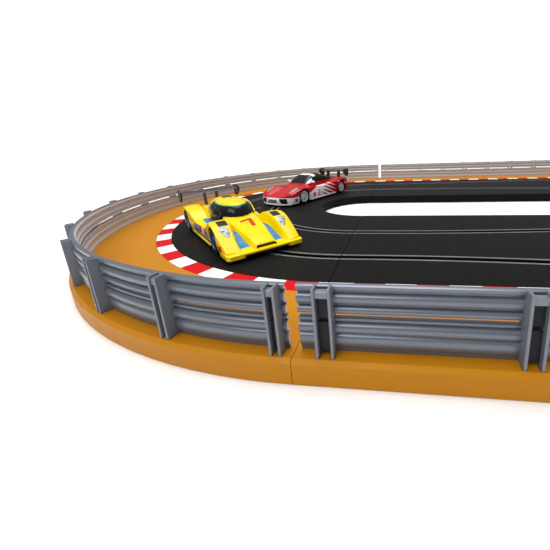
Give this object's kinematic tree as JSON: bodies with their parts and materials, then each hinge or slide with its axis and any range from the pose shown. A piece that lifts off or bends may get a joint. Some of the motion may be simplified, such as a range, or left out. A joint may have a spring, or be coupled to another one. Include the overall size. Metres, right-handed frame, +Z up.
{
  "type": "slot car track set",
  "caption": "Two-lane oval slot car set with narrow-lane curves, red and white kerbs, orange borders, corrugated crash barriers on posts, and geared yellow and red cars in the slots",
  "frame": {"origin": "middle of the oval, on the surface it stands on", "axes": "+X along the straights to the right, +Y to the back, +Z up"},
  "size_m": [1.1672, 0.4672, 0.0394],
  "materials": {
    "track_black": "finely textured black moulding",
    "conductor_metal": "rolled steel strip",
    "border_orange": "smooth orange moulding",
    "kerb_red": "red kerb stone",
    "kerb_white": "white kerb stone",
    "barrier_gray": "glossy blue-gray moulding",
    "post_gray": "glossy gray moulding",
    "clip_black": "black moulding",
    "contact_brass": "bare brass",
    "yellow_gloss": "yellow gloss body with coloured panels",
    "red_gloss": "red gloss body with white panels",
    "dark_glass": "tinted clear moulding",
    "wing_black": "black moulding",
    "lamp_silver": "bright lamp",
    "chassis_gray": "dark gray moulding",
    "motor_steel": "plated steel can",
    "nylon_white": "nylon gear",
    "axle_steel": "ground steel",
    "yellow_rim": "dark blue wheel",
    "red_rim": "white spoked wheel",
    "tyre_rubber": "soft black rubber",
    "guide_blue": "blue moulding",
    "braid_copper": "woven copper",
    "magnet_gray": "ferrite block"
  },
  "bodies": {
    "set_base": {"track_curve_left_front": "track_black", "track_curve_left_back": "track_black", "track_curve_right_front": "track_black", "track_curve_right_back": "track_black", "track_straight_front_left": "track_black", "track_straight_front_right": "track_black", "track_straight_back_left": "track_black", "track_straight_back_right": "track_black", "conductors_outer_lane": "conductor_metal", "conductors_inner_lane": "conductor_metal", "border_curve_left": "border_orange", "border_curve_right": "border_orange", "border_straight_front": "border_orange", "border_straight_back": "border_orange", "kerb_red": "kerb_red", "kerb_white": "kerb_white", "barrier_curve_left": "barrier_gray", "barrier_curve_right": "barrier_gray", "barrier_straight_front": "barrier_gray", "barrier_straight_back": "barrier_gray", "barrier_posts": "post_gray", "joint_clips": "clip_black", "power_terminal": "clip_black", "terminal_contacts": "contact_brass"},
    "yellow_pickup": {"yellow_guide": "guide_blue", "yellow_braids": "braid_copper"},
    "yellow_car": {"yellow_body": "yellow_gloss", "yellow_windscreen": "dark_glass", "yellow_rear_wing": "wing_black", "yellow_headlamps": "lamp_silver", "yellow_chassis": "chassis_gray", "yellow_motor": "motor_steel", "yellow_magnet": "magnet_gray", "yellow_screws": "axle_steel"},
    "yellow_front_wheelset": {"yellow_front_axle": "axle_steel", "yellow_front_wheels": "yellow_rim", "yellow_front_tyres": "tyre_rubber"},
    "yellow_rear_wheelset": {"yellow_rear_axle": "axle_steel", "yellow_rear_wheels": "yellow_rim", "yellow_rear_tyres": "tyre_rubber", "yellow_crown_gear": "nylon_white"},
    "yellow_motor_shaft": {"yellow_pinion": "contact_brass"},
    "red_pickup": {"red_guide": "guide_blue", "red_braids": "braid_copper"},
    "red_car": {"red_body": "red_gloss", "red_windscreen": "dark_glass", "red_rear_wing": "wing_black", "red_headlamps": "lamp_silver", "red_chassis": "chassis_gray", "red_motor": "motor_steel", "red_magnet": "magnet_gray", "red_screws": "axle_steel"},
    "red_front_wheelset": {"red_front_axle": "axle_steel", "red_front_wheels": "red_rim", "red_front_tyres": "tyre_rubber"},
    "red_rear_wheelset": {"red_rear_axle": "axle_steel", "red_rear_wheels": "red_rim", "red_rear_tyres": "tyre_rubber", "red_crown_gear": "nylon_white"},
    "red_motor_shaft": {"red_pinion": "contact_brass"}
  },
  "joints": [
    {"name": "yellow_lane_travel", "type": "hinge", "parent": "set_base", "child": "yellow_pickup", "pos_m": [-0.35, 0, 0.009], "axis": [0, 0, 1], "range_deg": [-4, 17]},
    {"name": "yellow_drift", "type": "hinge", "parent": "yellow_pickup", "child": "yellow_car", "pos_m": [-0.40544, -0.13722, 0.014], "axis": [0, 0, 1], "range_deg": [-7, 21]},
    {"name": "yellow_front_axle_spin", "type": "hinge", "parent": "yellow_car", "child": "yellow_front_wheelset", "pos_m": [-0.41622, -0.12752, 0.0178], "axis": [0.6691, 0.7431, 0], "continuous": true},
    {"name": "yellow_rear_axle_spin", "type": "hinge", "parent": "yellow_car", "child": "yellow_rear_wheelset", "pos_m": [-0.47121, -0.07801, 0.0178], "axis": [0.6691, 0.7431, 0], "continuous": true},
    {"name": "yellow_motor_spin", "type": "hinge", "parent": "yellow_car", "child": "yellow_motor_shaft", "pos_m": [-0.46378, -0.0847, 0.0178], "axis": [0.7431, -0.6691, 0], "continuous": true},
    {"name": "red_lane_travel", "type": "hinge", "parent": "set_base", "child": "red_pickup", "pos_m": [-0.35, 0, 0.009], "axis": [0, 0, 1], "range_deg": [-32, 4]},
    {"name": "red_drift", "type": "hinge", "parent": "red_pickup", "child": "red_car", "pos_m": [-0.44897, 0.00259, 0.014], "axis": [0, 0, 1], "range_deg": [-6, 27]},
    {"name": "red_front_axle_spin", "type": "hinge", "parent": "red_car", "child": "red_front_wheelset", "pos_m": [-0.4433, 0.01594, 0.0176], "axis": [0.9205, -0.3907, 0], "continuous": true},
    {"name": "red_rear_axle_spin", "type": "hinge", "parent": "red_car", "child": "red_rear_wheelset", "pos_m": [-0.41439, 0.08406, 0.0176], "axis": [0.9205, -0.3907, 0], "continuous": true},
    {"name": "red_motor_spin", "type": "hinge", "parent": "red_car", "child": "red_motor_shaft", "pos_m": [-0.41829, 0.07485, 0.0176], "axis": [-0.3907, -0.9205, 0], "continuous": true}
  ],
  "couplings": [
    {"joint": "yellow_motor_spin", "follows": "yellow_rear_axle_spin", "ratio": -3},
    {"joint": "red_motor_spin", "follows": "red_rear_axle_spin", "ratio": -3}
  ]
}
